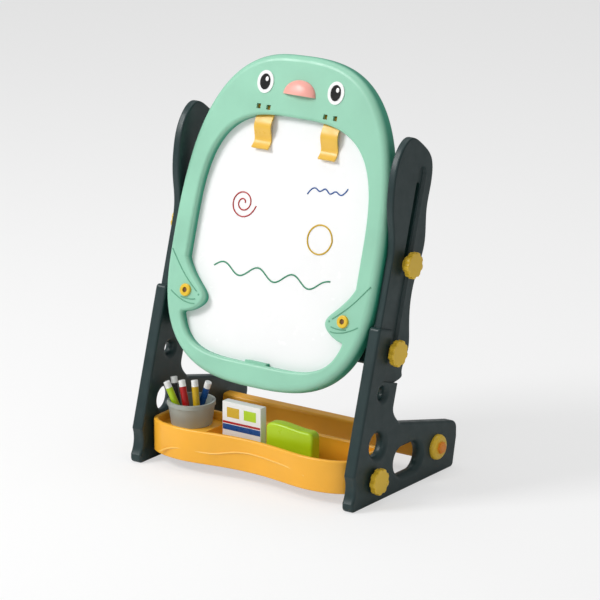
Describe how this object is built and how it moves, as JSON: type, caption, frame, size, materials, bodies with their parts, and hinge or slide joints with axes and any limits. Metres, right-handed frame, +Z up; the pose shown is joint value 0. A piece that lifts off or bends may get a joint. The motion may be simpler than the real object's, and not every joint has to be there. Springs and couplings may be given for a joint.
{
  "type": "kids easel",
  "caption": "Small children's easel with an animal-face board that tilts and slides on slotted posts, a tray, knobs, cup, markers, eraser and chalk box.",
  "frame": {"origin": "centre of the bounding box on the floor", "axes": "+X to the easel's left-to-right as seen from the front, +Y to the back, +Z up"},
  "size_m": [0.393, 0.25, 0.5623],
  "materials": {
    "mint": "satin moulded mint green",
    "slate": "dark green-grey moulded plastic",
    "yellow": "yellow moulded plastic",
    "orange": "orange moulded plastic",
    "white_board": "smooth white dry-wipe sheet",
    "chalk_board": "dark matt chalk sheet",
    "white": "white plastic",
    "black": "black plastic",
    "pink": "pink plastic",
    "brown": "brown plastic",
    "steel": "zinc-plated steel",
    "grey": "grey plastic",
    "lime": "lime plastic",
    "red": "red plastic",
    "sun": "yellow marker plastic",
    "blue": "blue plastic",
    "felt": "dark felt",
    "card": "printed card"
  },
  "bodies": {
    "base": {"right_lower_leg": "slate", "left_lower_leg": "slate", "right_post": "slate", "left_post": "slate", "tie_bar": "slate", "rear_rail": "orange", "tray": "orange", "leg_bolts": "steel", "tray_bolts": "steel", "rail_caps": "yellow", "rail_screws": "orange"},
    "carriage": {"pivot_bolts": "steel"},
    "board": {"board_frame": "mint", "board_back": "mint", "board_panel": "white_board", "chalk_panel": "chalk_board", "shell_screws": "steel", "nose": "pink", "eye_whites": "white", "eye_pupils": "black", "peg_rings": "yellow", "peg_pins": "brown", "clip_pins": "steel"},
    "cup": {"cup": "grey"},
    "eraser": {"eraser_shell": "lime", "eraser_felt": "felt"},
    "chalk_box": {"chalk_box": "card"},
    "left_board_knob": {"left_board_knob": "yellow"},
    "left_leg_knob": {"left_leg_knob": "yellow"},
    "left_tray_knob": {"left_tray_knob": "yellow"},
    "left_clip": {"left_clip": "yellow"},
    "right_board_knob": {"right_board_knob": "yellow"},
    "right_leg_knob": {"right_leg_knob": "yellow"},
    "right_tray_knob": {"right_tray_knob": "yellow"},
    "right_clip": {"right_clip": "yellow"},
    "marker_lime": {"marker_lime": "lime", "marker_lime_end": "white"},
    "marker_black": {"marker_black": "black", "marker_black_end": "white"},
    "marker_red": {"marker_red": "red", "marker_red_end": "white"},
    "marker_yellow": {"marker_yellow": "sun", "marker_yellow_end": "white"},
    "marker_blue": {"marker_blue": "blue", "marker_blue_end": "white"}
  },
  "joints": [
    {"name": "board_height", "type": "slide", "parent": "base", "child": "carriage", "axis": [0, 0.2924, 0.9563], "range_m": [0, 0.105]},
    {"name": "board_tilt", "type": "hinge", "parent": "carriage", "child": "board", "pos_m": [0, 0.0035, 0.312], "axis": [-1, 0, 0], "range_deg": [-4, 60]},
    {"name": "left_board_knob_turn", "type": "hinge", "parent": "carriage", "child": "left_board_knob", "pos_m": [-0.19, 0.0035, 0.312], "axis": [-1, 0, 0], "continuous": true},
    {"name": "left_leg_knob_turn", "type": "hinge", "parent": "base", "child": "left_leg_knob", "pos_m": [-0.19, -0.031, 0.19916], "axis": [-1, 0, 0], "continuous": true},
    {"name": "left_tray_knob_turn", "type": "hinge", "parent": "base", "child": "left_tray_knob", "pos_m": [-0.19, -0.073, 0.032], "axis": [-1, 0, 0], "continuous": true},
    {"name": "left_clip_hinge", "type": "hinge", "parent": "board", "child": "left_clip", "pos_m": [-0.0545, 0.01678, 0.48884], "axis": [-1, 0, 0], "range_deg": [0, 8], "stiffness_Nm_per_rad": 0.15, "springref_deg": -20.05},
    {"name": "right_board_knob_turn", "type": "hinge", "parent": "carriage", "child": "right_board_knob", "pos_m": [0.19, 0.0035, 0.312], "axis": [1, 0, 0], "continuous": true},
    {"name": "right_leg_knob_turn", "type": "hinge", "parent": "base", "child": "right_leg_knob", "pos_m": [0.19, -0.031, 0.19916], "axis": [1, 0, 0], "continuous": true},
    {"name": "right_tray_knob_turn", "type": "hinge", "parent": "base", "child": "right_tray_knob", "pos_m": [0.19, -0.073, 0.032], "axis": [1, 0, 0], "continuous": true},
    {"name": "right_clip_hinge", "type": "hinge", "parent": "board", "child": "right_clip", "pos_m": [0.0545, 0.01678, 0.48884], "axis": [-1, 0, 0], "range_deg": [0, 8], "stiffness_Nm_per_rad": 0.15, "springref_deg": -20.05},
    {"name": "cup_lift", "type": "slide", "parent": "base", "child": "cup", "axis": [0, -0.766, 0.6428], "range_m": [0, 0.1]},
    {"name": "eraser_lift", "type": "slide", "parent": "base", "child": "eraser", "axis": [0, 0, 1], "range_m": [0, 0.03]},
    {"name": "chalk_box_lift", "type": "slide", "parent": "base", "child": "chalk_box", "axis": [0, 0, 1], "range_m": [0, 0.018]},
    {"name": "marker_lime_lift", "type": "slide", "parent": "cup", "child": "marker_lime", "axis": [-0.3334, -0.176, 0.9262], "range_m": [0, 0.01]},
    {"name": "marker_black_lift", "type": "slide", "parent": "cup", "child": "marker_black", "axis": [-0.1955, 0.0782, 0.9776], "range_m": [0, 0.01]},
    {"name": "marker_red_lift", "type": "slide", "parent": "cup", "child": "marker_red", "axis": [-0.2423, 0.0485, 0.969], "range_m": [0, 0.01]},
    {"name": "marker_yellow_lift", "type": "slide", "parent": "cup", "child": "marker_yellow", "axis": [-0.1669, 0.0884, 0.982], "range_m": [0, 0.01]},
    {"name": "marker_blue_lift", "type": "slide", "parent": "cup", "child": "marker_blue", "axis": [0.371, -0.0464, 0.9275], "range_m": [0, 0.01]}
  ]
}
